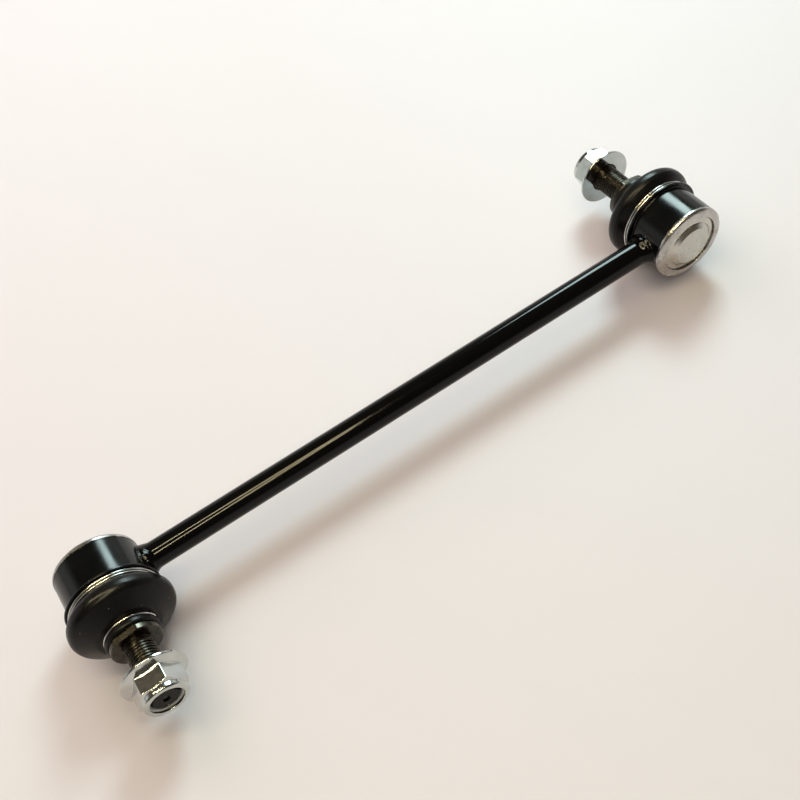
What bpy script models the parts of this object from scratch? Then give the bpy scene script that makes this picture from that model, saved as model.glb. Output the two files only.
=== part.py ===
"""Stabilizer link: a round steel rod with a ball joint welded to each end.

Each end is a turned housing that holds a ball in a plastic seat, closed by an end plate under a
rolled rim. A threaded stud leaves the other side of the housing through a rubber dust boot, and
carries a flange nut. The two ends are the same and point opposite ways: end b is end a turned half
round about the vertical axis.

The link lies along X, with the rod's middle at the origin. Stud a points along -Y at the -X end and
stud b along +Y at the +X end. Each end is modelled in its own frame: origin at the ball's centre,
Z along the stud, and the rod leaving along -X.
"""
from math import asin, atan2, ceil, cos, degrees, pi, radians, sin, sqrt, tan

import bmesh
import bpy
from mathutils import Matrix, Vector

# Driving dimensions, in metres unless the name says otherwise.
# The link
CENTRE_DISTANCE = 0.280
CLEARANCE = 0.0003
RUNNING_GAP = 0.0004
SWING_DEG = 25.3

# Rod and welds
ROD_DIAMETER = 0.0108
WELD_REACH = 0.0018
WELD_WIRE_RADIUS = 0.0023
WELD_RIPPLES = 10
WELD_RIPPLE_DEPTH = 0.00018
WELD_WIDTH_FACTOR = 0.9
ROD_SINK = 0.0034

# Ball and seat
BALL_DIAMETER = 0.018
BALL_OFFSET = 0.0022
SEAT_WALL = 0.0022
SEAT_FLOOR = 0.0008
SEAT_WRAP_DEG = 22
SEAT_LIP = 0.0007
GREASE_HOLE_DIAMETER = 0.005

# Housing and its rolled rim
HOUSING_DIAMETER = 0.0344
HOUSING_REACH = 0.0090
SHOULDER_DEG = 27
THROAT_LAND = 0.0004
RIM_SWELL = 0.0001
RIM_HEIGHT = 0.0026
RIM_CREST = 0.0015
RIM_WALL = 0.0013
RIM_OVERLAP = 0.0024
RIM_FACE_WIDTH = 0.0017
RIM_BEVEL = 0.00115
FLANGE_DIAMETER = 0.0384
FLANGE_THICKNESS = 0.0010
GROOVE_DIAMETER = 0.0320
GROOVE_WIDTH = 0.0027
RIM_INNER_FILLET = 0.0002
RIM_FACE_FILLET = 0.0006
RIM_OUTER_FILLET = 0.0009
HOUSING_FILLET = 0.0006
EDGE_FILLET = 0.0003

# End plate
PLATE_THICKNESS = 0.0015
PLATE_EDGE = 0.0006
PLATE_EDGE_WIDTH = 0.00065
PLATE_STEP = 0.0007
BULGE_DIAMETER = 0.0218
BULGE_FOOT = 0.0016
BULGE_RISE = 0.0030
BULGE_SHOULDER_WIDTH = 0.0019
BULGE_SHOULDER_HEIGHT = 0.0009
BULGE_FILLET = 0.0009
HOLLOW_DIAMETER = 0.0172

# Dust boot and its wire rings
BOOT_WALL = 0.0012
BOOT_BASE_WALL = 0.0009
BOOT_BELLY_DIAMETER = 0.0424
BOOT_BELLY_LOW = 0.0028
BOOT_BELLY_HIGH = 0.0044
BOOT_NECK_DIAMETER = 0.0258
BOOT_NECK_DROP = 0.0003
BOOT_LIP = 0.0026
BOOT_LIP_DIAMETER = 0.0219
BOOT_INNER_SHIFT = 0.0005
BOOT_BASE_FILLET = 0.0004
BOOT_LIP_FILLET = 0.0009
BOOT_NECK_FILLET = 0.0020
BOOT_NECK_INNER_FILLET = 0.0015
BOOT_BELLY_LOW_FILLET = 0.0034
BOOT_BELLY_HIGH_FILLET = 0.0042
BOOT_INNER_LOW_FILLET = 0.0024
BOOT_INNER_HIGH_FILLET = 0.0032
WIRE_DIAMETER = 0.0010
RING_PITCH = 0.0011
RING_START_DEG = 110
RING_CROSSING_DEG = 40
NECK_RING_GAP_DEG = 12

# Stud
NECK_DIAMETER = 0.010
BOOT_SEAT_DIAMETER = 0.0164
BOOT_SEAT_LENGTH = 0.0051
NECK_LENGTH = 0.0140
NECK_FILLET = 0.0030
SEAT_BACK_FILLET = 0.0008
COLLAR_FACE = 0.0284
COLLAR_THICKNESS = 0.0026
COLLAR_DIAMETER = 0.0204
COLLAR_CHAMFER = 0.0005
COLLAR_FLATS = 0.0180
COLLAR_TURN_DEG = 80
THREAD_DIAMETER = 0.0119
RELIEF_DIAMETER = 0.0104
RELIEF_LENGTH = 0.0012
UNDERCUT_DIAMETER = 0.0128
UNDERCUT_DEPTH = 0.0002
STUD_REACH = 0.0534
STUD_CHAMFER = 0.0009
CENTRE_HOLE_DIAMETER = 0.0032
CENTRE_HOLE_DEPTH = 0.0027

# Flange nut and its locking ring
NUT_FLATS = 0.018
NUT_HEIGHT = 0.0121
NUT_TURN_DEG = 85
NUT_FLANGE_DIAMETER = 0.026
NUT_FLANGE_EDGE = 0.0010
NUT_FLANGE_HEIGHT = 0.0026
NUT_HEX_TOP = 0.0098
NUT_CHAMFER_DEG = 30
NUT_TOP_DIAMETER = 0.0174
NUT_EDGE_FILLET = 0.0002
NUT_FLANGE_FILLET = 0.0004
BOSS_DIAMETER = 0.0176
BOSS_MOUTH_DIAMETER = 0.0134
BOSS_LIP = 0.0008
BOSS_FILLET = 0.0009
INSERT_WALL = 0.0013
INSERT_HEIGHT = 0.0020
NUT_GRIP = {"a": 0.0111, "b": 0.0095}

# Facets
ROUND = 32
SMALL_ROUND = 24
FILLET_STEP_DEG = 36
SMALL_FILLET_STEP_DEG = 46
SMALL_FILLET = 0.0012
SEAT_STEPS = 8
BALL_STEPS = 10
FOOT_STEPS = 4
BASE_RING_STEPS = 52
NECK_RING_STEPS = 26
BEAD_STEPS = 42
BEAD_SECTION_STEPS = 8
SHARP_EDGE_DEG = 35
CUT_OVERRUN = 0.001

# Sizes that follow from them
BALL_RADIUS = BALL_DIAMETER / 2
SOCKET_RADIUS = BALL_RADIUS + CLEARANCE
HOUSING_RADIUS = HOUSING_DIAMETER / 2
NECK_RADIUS = NECK_DIAMETER / 2
THREAD_RADIUS = THREAD_DIAMETER / 2
NUT_BORE_RADIUS = THREAD_RADIUS + CLEARANCE
WIRE_RADIUS = WIRE_DIAMETER / 2
SEAT_RADIUS = SOCKET_RADIUS + SEAT_WALL
SEAT_BOTTOM = -(SOCKET_RADIUS + SEAT_FLOOR)
PLATE_INNER = SEAT_BOTTOM - CLEARANCE
PLATE_OUTER = PLATE_INNER - PLATE_THICKNESS
RIM_TOP = PLATE_OUTER - RIM_CREST
FLANGE_TOP = HOUSING_REACH - GROOVE_WIDTH
FLANGE_BOTTOM = FLANGE_TOP - FLANGE_THICKNESS
COLLAR_BACK = COLLAR_FACE - COLLAR_THICKNESS
BOOT_TOP = COLLAR_BACK - CLEARANCE
SPREAD = radians(SWING_DEG)


def finish(name, colour, roughness, metallic):
    """Principled material with one colour, roughness and metallic value."""
    material = bpy.data.materials.new(name)
    material.use_nodes = True
    shader = material.node_tree.nodes["Principled BSDF"]
    shader.inputs["Base Color"].default_value = (*colour, 1.0)
    shader.inputs["Roughness"].default_value = roughness
    shader.inputs["Metallic"].default_value = metallic
    return material


def rounded(corners):
    """Closed outline through (r, z) corners; a third number on a corner is its fillet radius.

    A fillet is limited to just under half of the shorter side next to it.
    """
    outline = []
    for index, corner in enumerate(corners):
        here = Vector(corner[:2])
        if len(corner) == 2:
            outline.append(here)
            continue
        back = Vector(corners[index - 1][:2]) - here
        ahead = Vector(corners[(index + 1) % len(corners)][:2]) - here
        half = back.angle(ahead) / 2
        setback = min(corner[2] / tan(half), 0.49 * min(back.length, ahead.length))
        radius = setback * tan(half)
        centre = here + (back.normalized() + ahead.normalized()).normalized() * radius / sin(half)
        first = here + back.normalized() * setback - centre
        last = here + ahead.normalized() * setback - centre
        start = atan2(first.y, first.x)
        sweep = (atan2(last.y, last.x) - start + pi) % (2 * pi) - pi
        facet = SMALL_FILLET_STEP_DEG if radius < SMALL_FILLET else FILLET_STEP_DEG
        steps = max(1, ceil(abs(degrees(sweep)) / facet))
        for step in range(steps + 1):
            angle = start + sweep * step / steps
            outline.append(centre + Vector((cos(angle), sin(angle))) * radius)
    return outline


def arc(radius, from_deg, to_deg, steps):
    """Points of an arc about the ball's centre, by angle above the equator."""
    angles = [radians(from_deg + (to_deg - from_deg) * step / steps) for step in range(steps + 1)]
    return [(radius * cos(angle), radius * sin(angle)) for angle in angles]


def keep(name, form, material=None):
    """Object of a finished form, shaded smooth with its corners sharp."""
    bmesh.ops.recalc_face_normals(form, faces=form.faces)
    mesh = bpy.data.meshes.new(name)
    form.to_mesh(mesh)
    form.free()
    mesh.shade_smooth()
    mesh.set_sharp_from_angle(angle=radians(SHARP_EDGE_DEG))
    piece = bpy.data.objects.new(name, mesh)
    bpy.context.scene.collection.objects.link(piece)
    if material:
        mesh.materials.append(material)
    return piece


def turned(name, outline, segments, material=None):
    """Solid made by turning a closed (r, z) outline once about Z. Axis points have r = 0."""
    form = bmesh.new()
    points = [form.verts.new((r, 0, z)) for r, z in outline]
    sides = [form.edges.new((points[index - 1], points[index])) for index in range(len(points))
             if points[index - 1].co.x > 0 or points[index].co.x > 0]
    bmesh.ops.spin(form, geom=points + sides, cent=(0, 0, 0), axis=(0, 0, 1), angle=2 * pi,
                   steps=segments, use_merge=True)
    bmesh.ops.remove_doubles(form, verts=form.verts, dist=1e-7)
    return keep(name, form, material)


def as_cutter(piece):
    """Mark a piece that only shapes others."""
    piece.hide_render = True
    piece.display_type = "WIRE"
    return piece


def combine(piece, operation, tool):
    """Boolean of a piece with a tool that is left out of the model."""
    modifier = piece.modifiers.new(operation.lower(), "BOOLEAN")
    modifier.operation = operation
    modifier.object = as_cutter(tool)


def wire(name, path, material):
    """Round wire along a list of points, with flat ends."""
    curve = bpy.data.curves.new(name, "CURVE")
    curve.dimensions = "3D"
    curve.bevel_depth = WIRE_RADIUS
    curve.bevel_resolution = 1
    curve.use_fill_caps = True
    spline = curve.splines.new("POLY")
    spline.points.add(len(path) - 1)
    for point, place in zip(spline.points, path):
        point.co = (*place, 1.0)
    curve.materials.append(material)
    piece = bpy.data.objects.new(name, curve)
    bpy.context.scene.collection.objects.link(piece)
    return piece


def mouth_radius(height):
    """Housing mouth at a height over the ball's centre: clear of the neck at full swing."""
    return height * tan(SPREAD) + NECK_RADIUS / cos(SPREAD) + RUNNING_GAP


def seat_lip():
    """Inner radius, outer radius and height of the seat's lip, past the ball's equator."""
    inner = SOCKET_RADIUS * cos(radians(SEAT_WRAP_DEG))
    return inner, inner + SEAT_LIP, SOCKET_RADIUS * sin(radians(SEAT_WRAP_DEG))


def seat_cone_start():
    """Height where the seat's outside turns from a cylinder into its upper cone."""
    _, outer, top = seat_lip()
    return top - (SEAT_RADIUS - outer) * tan(radians(SHOULDER_DEG))


def throat():
    """Radius and height of the housing's narrowest ring, where its shoulder meets the mouth."""
    bore = SEAT_RADIUS + CLEARANCE
    slope = tan(radians(SHOULDER_DEG))
    start = seat_cone_start() + CLEARANCE * (1 / cos(radians(SHOULDER_DEG)) - slope)
    spread = tan(SPREAD)
    rest = NECK_RADIUS / cos(SPREAD) + RUNNING_GAP
    radius = ((start + bore * slope) * spread + rest) / (1 + slope * spread)
    return radius, start + (bore - radius) * slope


def housing(end, material):
    """Turned cup: bore for the seat, shoulder and mouth for the stud, boot groove and rolled rim."""
    bore = SEAT_RADIUS + CLEARANCE
    slope = tan(radians(SHOULDER_DEG))
    shoulder = seat_cone_start() + CLEARANCE * (1 / cos(radians(SHOULDER_DEG)) - slope)
    throat_radius, throat_height = throat()
    rim = HOUSING_RADIUS + RIM_SWELL
    pocket = HOUSING_RADIUS - RIM_WALL
    lip = pocket - RIM_OVERLAP
    lip_height = PLATE_OUTER + PLATE_EDGE
    groove = GROOVE_DIAMETER / 2
    outline = rounded([
        (pocket - PLATE_EDGE_WIDTH, PLATE_OUTER),
        (lip, PLATE_OUTER),
        (lip, RIM_TOP, RIM_INNER_FILLET),
        (lip + RIM_FACE_WIDTH, RIM_TOP, RIM_FACE_FILLET),
        (rim, RIM_TOP + RIM_BEVEL, RIM_OUTER_FILLET),
        (rim, RIM_TOP + RIM_HEIGHT),
        (HOUSING_RADIUS, RIM_TOP + RIM_HEIGHT + RIM_SWELL),
        (HOUSING_RADIUS, FLANGE_BOTTOM, HOUSING_FILLET),
        (FLANGE_DIAMETER / 2, FLANGE_BOTTOM, EDGE_FILLET),
        (FLANGE_DIAMETER / 2, FLANGE_TOP, EDGE_FILLET),
        (groove, FLANGE_TOP),
        (groove, HOUSING_REACH, HOUSING_FILLET),
        (mouth_radius(HOUSING_REACH), HOUSING_REACH),
        (mouth_radius(throat_height + THROAT_LAND), throat_height + THROAT_LAND),
        (throat_radius, throat_height),
        (bore, shoulder),
        (bore, PLATE_INNER + CLEARANCE),
        (pocket, PLATE_INNER + CLEARANCE),
        (pocket, lip_height),
    ])
    return turned("housing_" + end, outline, ROUND, material)


def end_plate(end, material):
    """Pressed closing disc: edge under the rolled lip, sloping face and a hollow round bulge."""
    wide = HOUSING_RADIUS - RIM_WALL - CLEARANCE
    window = HOUSING_RADIUS - RIM_WALL - RIM_OVERLAP - CLEARANCE
    under_lip = PLATE_OUTER + CLEARANCE
    bulge = BULGE_DIAMETER / 2
    hollow = HOLLOW_DIAMETER / 2
    top = PLATE_OUTER - BULGE_RISE
    outline = rounded([
        (0, top),
        (bulge - BULGE_SHOULDER_WIDTH, top, BULGE_FILLET),
        (bulge, top + BULGE_SHOULDER_HEIGHT, BULGE_FILLET),
        (bulge, PLATE_OUTER - BULGE_FOOT),
        (window, PLATE_OUTER - PLATE_STEP),
        (window, under_lip),
        (wide - PLATE_EDGE_WIDTH, under_lip),
        (wide, under_lip + PLATE_EDGE),
        (wide, PLATE_INNER),
        (hollow, PLATE_INNER),
        (hollow, top + PLATE_THICKNESS),
        (0, top + PLATE_THICKNESS),
    ])
    return turned("end_plate_" + end, outline, ROUND, material)


def ball_seat(end, material):
    """Plastic cup that wraps the ball past its equator, with a grease hole in its floor."""
    inner, outer, top = seat_lip()
    hole = GREASE_HOLE_DIAMETER / 2
    floor_deg = degrees(asin(hole / SOCKET_RADIUS)) - 90
    inside = arc(SOCKET_RADIUS, SEAT_WRAP_DEG, floor_deg, SEAT_STEPS)
    outline = inside + [(hole, SEAT_BOTTOM), (SEAT_RADIUS, SEAT_BOTTOM),
                        (SEAT_RADIUS, seat_cone_start()), (outer, top)]
    return turned("ball_seat_" + end, outline, SMALL_ROUND, material)


def ball(end, material):
    """Full steel ball, welded to the stud at the stud's hollow foot."""
    outline = arc(BALL_RADIUS, -90, 90, BALL_STEPS)
    outline[0] = (0, -BALL_RADIUS)
    outline[-1] = (0, BALL_RADIUS)
    return turned("ball_" + end, outline, SMALL_ROUND, material)


def stud(end, material):
    """Neck on the ball, boot seat, spanner collar and threaded shank with a centre hole."""
    foot_deg = degrees(asin(sqrt(SOCKET_RADIUS ** 2 - NECK_RADIUS ** 2) / SOCKET_RADIUS))
    foot = arc(SOCKET_RADIUS, 90, foot_deg, FOOT_STEPS)
    foot[0] = (0, SOCKET_RADIUS)
    seat = BOOT_SEAT_DIAMETER / 2
    seat_back = COLLAR_BACK - BOOT_SEAT_LENGTH
    collar = COLLAR_DIAMETER / 2
    hole = CENTRE_HOLE_DIAMETER / 2
    shank = rounded([
        (0, STUD_REACH - CENTRE_HOLE_DEPTH),
        (hole, STUD_REACH),
        (THREAD_RADIUS - STUD_CHAMFER, STUD_REACH),
        (THREAD_RADIUS, STUD_REACH - STUD_CHAMFER),
        (THREAD_RADIUS, COLLAR_FACE + RELIEF_LENGTH + (THREAD_DIAMETER - RELIEF_DIAMETER) / 2),
        (RELIEF_DIAMETER / 2, COLLAR_FACE + RELIEF_LENGTH),
        (RELIEF_DIAMETER / 2, COLLAR_FACE - UNDERCUT_DEPTH),
        (UNDERCUT_DIAMETER / 2, COLLAR_FACE),
        (collar - COLLAR_CHAMFER, COLLAR_FACE),
        (collar, COLLAR_FACE - COLLAR_CHAMFER),
        (collar, COLLAR_BACK, EDGE_FILLET),
        (seat, COLLAR_BACK),
        (seat, seat_back, SEAT_BACK_FILLET),
        (NECK_RADIUS, NECK_LENGTH, NECK_FILLET),
        (NECK_RADIUS, foot[-1][1]),
    ])
    piece = turned("stud_" + end, [tuple(point) for point in shank] + foot[-2::-1], SMALL_ROUND,
                   material)
    combine(piece, "DIFFERENCE", flats_cutter(end))
    return piece


def flats_cutter(end):
    """Two blocks that cut the collar's parallel spanner flats."""
    form = bmesh.new()
    width = COLLAR_DIAMETER
    for side in (-1, 1):
        place = Matrix.Translation((side * (COLLAR_FLATS / 2 + width / 2), 0, COLLAR_FACE))
        size = Matrix.Diagonal((width, 2 * width, 2 * COLLAR_THICKNESS + CLEARANCE, 1))
        turn = Matrix.Rotation(radians(-COLLAR_TURN_DEG), 4, "Z")
        bmesh.ops.create_cube(form, size=1, matrix=turn @ place @ size)
    return keep("collar_flats_cutter_" + end, form)


def boot_corners():
    """Outer and inner corners of the dust boot, base first, each as (r, z, fillet)."""
    base = GROOVE_DIAMETER / 2 + CLEARANCE
    belly = BOOT_BELLY_DIAMETER / 2
    base_outer = base + BOOT_BASE_WALL
    bottom = FLANGE_TOP + CLEARANCE
    ring_top = bottom + RING_PITCH + WIRE_DIAMETER + CLEARANCE
    neck = BOOT_SEAT_DIAMETER / 2 + CLEARANCE
    neck_outer = neck + BOOT_WALL
    ring_low = BOOT_TOP - BOOT_LIP - WIRE_DIAMETER - CLEARANCE
    belly_low = ring_top + BOOT_BELLY_LOW
    belly_high = belly_low + BOOT_BELLY_HIGH
    cone_end = BOOT_NECK_DIAMETER / 2
    cone_top = ring_low - BOOT_NECK_DROP
    outer = [
        (base_outer, bottom),
        (base_outer, ring_top),
        (base_outer + WIRE_DIAMETER, ring_top, BOOT_BASE_FILLET),
        (belly, belly_low, BOOT_BELLY_LOW_FILLET),
        (belly, belly_high, BOOT_BELLY_HIGH_FILLET),
        (cone_end, cone_top, BOOT_NECK_FILLET),
        (neck_outer + WIRE_DIAMETER, ring_low, EDGE_FILLET),
        (neck_outer, ring_low),
        (neck_outer, BOOT_TOP - BOOT_LIP),
        (BOOT_LIP_DIAMETER / 2, BOOT_TOP - BOOT_LIP, BOOT_LIP_FILLET),
        (BOOT_LIP_DIAMETER / 2, BOOT_TOP, BOOT_LIP_FILLET),
        (neck, BOOT_TOP),
    ]
    inner = [
        (neck, ring_low - BOOT_WALL, SEAT_BACK_FILLET),
        (cone_end - BOOT_INNER_SHIFT, cone_top - BOOT_WALL, BOOT_NECK_INNER_FILLET),
        (belly - BOOT_WALL, belly_high - BOOT_INNER_SHIFT, BOOT_INNER_HIGH_FILLET),
        (belly - BOOT_WALL, belly_low + BOOT_INNER_SHIFT, BOOT_INNER_LOW_FILLET),
        (base + BOOT_BASE_WALL, ring_top + BOOT_INNER_SHIFT, BOOT_BASE_FILLET),
        (base, ring_top - BOOT_INNER_SHIFT),
        (base, bottom),
    ]
    return outer + inner


def dust_boot(end, material):
    """Thin moulded rubber bellows with one fold, open at its base and at its neck."""
    return turned("dust_boot_" + end, rounded(boot_corners()), ROUND, material)


def base_ring(end, material):
    """Wire sprung twice round the boot's base: two flat turns and one short crossing."""
    radius = GROOVE_DIAMETER / 2 + CLEARANCE + BOOT_BASE_WALL + CLEARANCE + WIRE_RADIUS
    low = FLANGE_TOP + CLEARANCE + WIRE_RADIUS
    cross = radians(RING_CROSSING_DEG)
    start = radians(RING_START_DEG)
    total = 4 * pi - cross
    path = []
    for step in range(BASE_RING_STEPS + 1):
        turn = total * step / BASE_RING_STEPS
        share = min(max((turn - (2 * pi - cross)) / cross, 0), 1)
        height = low + RING_PITCH * share * share * (3 - 2 * share)
        path.append((radius * cos(start + turn), radius * sin(start + turn), height))
    return wire("base_ring_" + end, path, material)


def neck_ring(end, material):
    """Single wire ring, open by a small gap, in the groove at the boot's neck."""
    radius = BOOT_SEAT_DIAMETER / 2 + CLEARANCE + BOOT_WALL + CLEARANCE + WIRE_RADIUS
    height = BOOT_TOP - BOOT_LIP - CLEARANCE / 2 - WIRE_RADIUS
    gap = radians(NECK_RING_GAP_DEG)
    path = []
    for step in range(NECK_RING_STEPS + 1):
        angle = gap / 2 + (2 * pi - gap) * step / NECK_RING_STEPS
        path.append((radius * cos(angle), radius * sin(angle), height))
    return wire("neck_ring_" + end, path, material)


def nut_face(end):
    """Height of the nut's clamping face over the ball's centre, as the nut is stored."""
    return STUD_REACH - NUT_GRIP[end]


def flange_nut(end, material):
    """Hexagon on a thin conical flange, with a round boss that is rolled over a locking ring."""
    base = nut_face(end)
    corner = NUT_FLATS / 2 / cos(pi / 6)
    chamfer = tan(radians(NUT_CHAMFER_DEG))
    form = bmesh.new()
    turn = Matrix.Rotation(radians(-NUT_TURN_DEG), 4, "Z")
    middle = Matrix.Translation((0, 0, base + NUT_HEIGHT / 2))
    bmesh.ops.create_cone(form, cap_ends=True, segments=6, radius1=corner, radius2=corner,
                          depth=NUT_HEIGHT + 2 * CUT_OVERRUN, matrix=turn @ middle)
    piece = keep("flange_nut_" + end, form, material)

    hex_top = base + NUT_HEX_TOP
    flat_top = NUT_TOP_DIAMETER / 2
    wide = corner + CUT_OVERRUN
    envelope = [(0, base + NUT_FLANGE_EDGE), (wide, base + NUT_FLANGE_EDGE),
                (wide, hex_top - (wide - flat_top) * chamfer), (flat_top, hex_top), (0, hex_top)]
    combine(piece, "INTERSECT", turned("nut_envelope_" + end, envelope, SMALL_ROUND))

    flange = NUT_FLANGE_DIAMETER / 2
    boss = BOSS_DIAMETER / 2
    top = base + NUT_HEIGHT
    body = rounded([
        (0, base),
        (flange, base, NUT_EDGE_FILLET),
        (flange, base + NUT_FLANGE_EDGE, NUT_FLANGE_FILLET),
        (boss, base + NUT_FLANGE_HEIGHT),
        (boss, top, BOSS_FILLET),
        (0, top),
    ])
    combine(piece, "UNION", turned("nut_body_" + end, body, SMALL_ROUND))
    combine(piece, "DIFFERENCE", turned("nut_bore_" + end, nut_bore(base), SMALL_ROUND))
    return piece


def nut_bore(base):
    """Bore with a countersunk foot, the locking ring's pocket and the rolled mouth over it."""
    top = base + NUT_HEIGHT
    bore = NUT_BORE_RADIUS
    mouth = BOSS_MOUTH_DIAMETER / 2
    pocket = bore + INSERT_WALL + CLEARANCE
    pocket_top = top - BOSS_LIP
    pocket_floor = pocket_top - INSERT_HEIGHT - 2 * CLEARANCE
    foot = bore + 2 * CLEARANCE
    return [(0, base - CUT_OVERRUN), (foot, base - CUT_OVERRUN), (foot, base),
            (bore, base + (foot - bore)), (bore, pocket_floor), (pocket, pocket_floor),
            (pocket, pocket_top), (mouth, pocket_top), (mouth, top + CUT_OVERRUN),
            (0, top + CUT_OVERRUN)]


def nut_insert(end, material):
    """Nylon locking ring under the boss's rolled mouth."""
    top = nut_face(end) + NUT_HEIGHT - BOSS_LIP - CLEARANCE
    inner = NUT_BORE_RADIUS
    outer = inner + INSERT_WALL
    outline = [(inner, top - INSERT_HEIGHT), (outer, top - INSERT_HEIGHT), (outer, top),
               (inner, top)]
    return turned("nut_insert_" + end, outline, SMALL_ROUND, material)


def housing_cutter(name):
    """Outside of the housing, grown by the clearance, for what is welded against it."""
    wall = HOUSING_RADIUS + CLEARANCE
    flange = FLANGE_DIAMETER / 2 + CLEARANCE
    step = FLANGE_BOTTOM - CLEARANCE
    outline = [(0, RIM_TOP), (wall, RIM_TOP), (wall, step), (flange, step),
               (flange, HOUSING_REACH), (0, HOUSING_REACH)]
    return turned(name, outline, 2 * ROUND)


def weld_bead(end, material):
    """Rippled fillet round the foot of the rod, as a tube that hugs rod and housing."""
    rod = ROD_DIAMETER / 2
    ring_radius = rod + WELD_REACH - WELD_WIRE_RADIUS
    form = bmesh.new()
    loops = []
    for step in range(BEAD_STEPS):
        angle = 2 * pi * step / BEAD_STEPS
        ripple = WELD_RIPPLE_DEPTH * cos(WELD_RIPPLES * angle)
        thick = WELD_WIRE_RADIUS + ripple
        loop = []
        for side in range(BEAD_SECTION_STEPS):
            lean = 2 * pi * side / BEAD_SECTION_STEPS
            radius = ring_radius + thick * cos(lean)
            across = radius * cos(angle)
            along = radius * sin(angle) - BALL_OFFSET
            saddle = sqrt(HOUSING_RADIUS ** 2 - (ring_radius * cos(angle)) ** 2)
            reach = -saddle - thick * sin(lean) * WELD_WIDTH_FACTOR
            loop.append(form.verts.new((reach, across, along)))
        loops.append(loop)
    for step in range(BEAD_STEPS):
        here, ahead = loops[step], loops[(step + 1) % BEAD_STEPS]
        for side in range(BEAD_SECTION_STEPS):
            beside = (side + 1) % BEAD_SECTION_STEPS
            form.faces.new((here[side], here[beside], ahead[beside], ahead[side]))
    piece = keep("weld_bead_" + end, form, material)
    combine(piece, "DIFFERENCE", housing_cutter("bead_housing_cutter_" + end))
    core = rod_blank("bead_rod_cutter_" + end, ROD_DIAMETER / 2 + CLEARANCE)
    combine(piece, "DIFFERENCE", core)
    return piece, core


def rod_blank(name, radius, material=None):
    """Plain bar along X from inside one housing to inside the other."""
    form = bmesh.new()
    length = CENTRE_DISTANCE - 2 * (HOUSING_RADIUS - ROD_SINK)
    turn = Matrix.Rotation(pi / 2, 4, "Y")
    bmesh.ops.create_cone(form, cap_ends=True, segments=ROUND, radius1=radius,
                          radius2=radius, depth=length, matrix=turn)
    return keep(name, form, material)


def end_frame(end):
    """Empty at the ball's centre: Z along the stud and the rod leaving along -X."""
    side = -1 if end == "a" else 1
    frame = bpy.data.objects.new("ball_centre_" + end, None)
    frame.location = (side * CENTRE_DISTANCE / 2, side * BALL_OFFSET, 0)
    frame.rotation_euler = (-pi / 2, 0, 0 if side > 0 else pi)
    bpy.context.scene.collection.objects.link(frame)
    return frame


def build():
    """Both ends on their frames, and the rod between them."""
    for leftover in list(bpy.data.objects):
        bpy.data.objects.remove(leftover, do_unlink=True)
    paint = finish("gloss_black_paint", (0.012, 0.012, 0.013), 0.18, 0.0)
    bead_paint = finish("black_paint_on_weld", (0.013, 0.013, 0.014), 0.25, 0.0)
    socket_paint = finish("semi_gloss_black_paint", (0.016, 0.017, 0.018), 0.32, 0.0)
    plate_steel = finish("bare_plate_steel", (0.56, 0.55, 0.53), 0.25, 1.0)
    ball_steel = finish("hardened_ball_steel", (0.62, 0.62, 0.63), 0.12, 1.0)
    acetal = finish("white_acetal", (0.80, 0.79, 0.74), 0.45, 0.0)
    rubber = finish("black_rubber", (0.022, 0.021, 0.020), 0.62, 0.0)
    spring_wire = finish("bright_spring_wire", (0.66, 0.66, 0.65), 0.20, 1.0)
    phosphate = finish("black_phosphate", (0.028, 0.027, 0.027), 0.45, 0.6)
    zinc = finish("bright_zinc", (0.74, 0.76, 0.78), 0.22, 1.0)
    nylon = finish("pale_nylon", (0.62, 0.63, 0.62), 0.50, 0.0)

    rod = rod_blank("link_rod", ROD_DIAMETER / 2, paint)
    for end in ("a", "b"):
        frame = end_frame(end)
        bead, core = weld_bead(end, bead_paint)
        pieces = [
            bead,
            housing(end, socket_paint),
            end_plate(end, plate_steel),
            ball_seat(end, acetal),
            ball(end, ball_steel),
            stud(end, phosphate),
            dust_boot(end, rubber),
            base_ring(end, spring_wire),
            neck_ring(end, spring_wire),
            flange_nut(end, zinc),
            nut_insert(end, nylon),
        ]
        coping = housing_cutter("rod_coping_cutter_" + end)
        combine(rod, "DIFFERENCE", coping)
        cutters = [modifier.object for piece in pieces for modifier in piece.modifiers]
        for item in pieces + cutters + [coping]:
            if item is not core:
                item.parent = frame


build()
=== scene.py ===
# %% [markdown]
# # Stabilizer link
#
# A stabilizer link is a short rod with a ball joint at each end. It ties a car's anti-roll bar to
# the suspension. This lesson dresses its plain solids: each visible piece is worked out again as a
# fine surface and gets its finish, and all pieces but the boots follow the body of the solid that
# they stand for.
#
# The solids arrive in model.glb and are loaded first.

from math import cos, pi, radians, tan

import bpy
import numpy as np
from mathutils import Matrix, Vector


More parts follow.
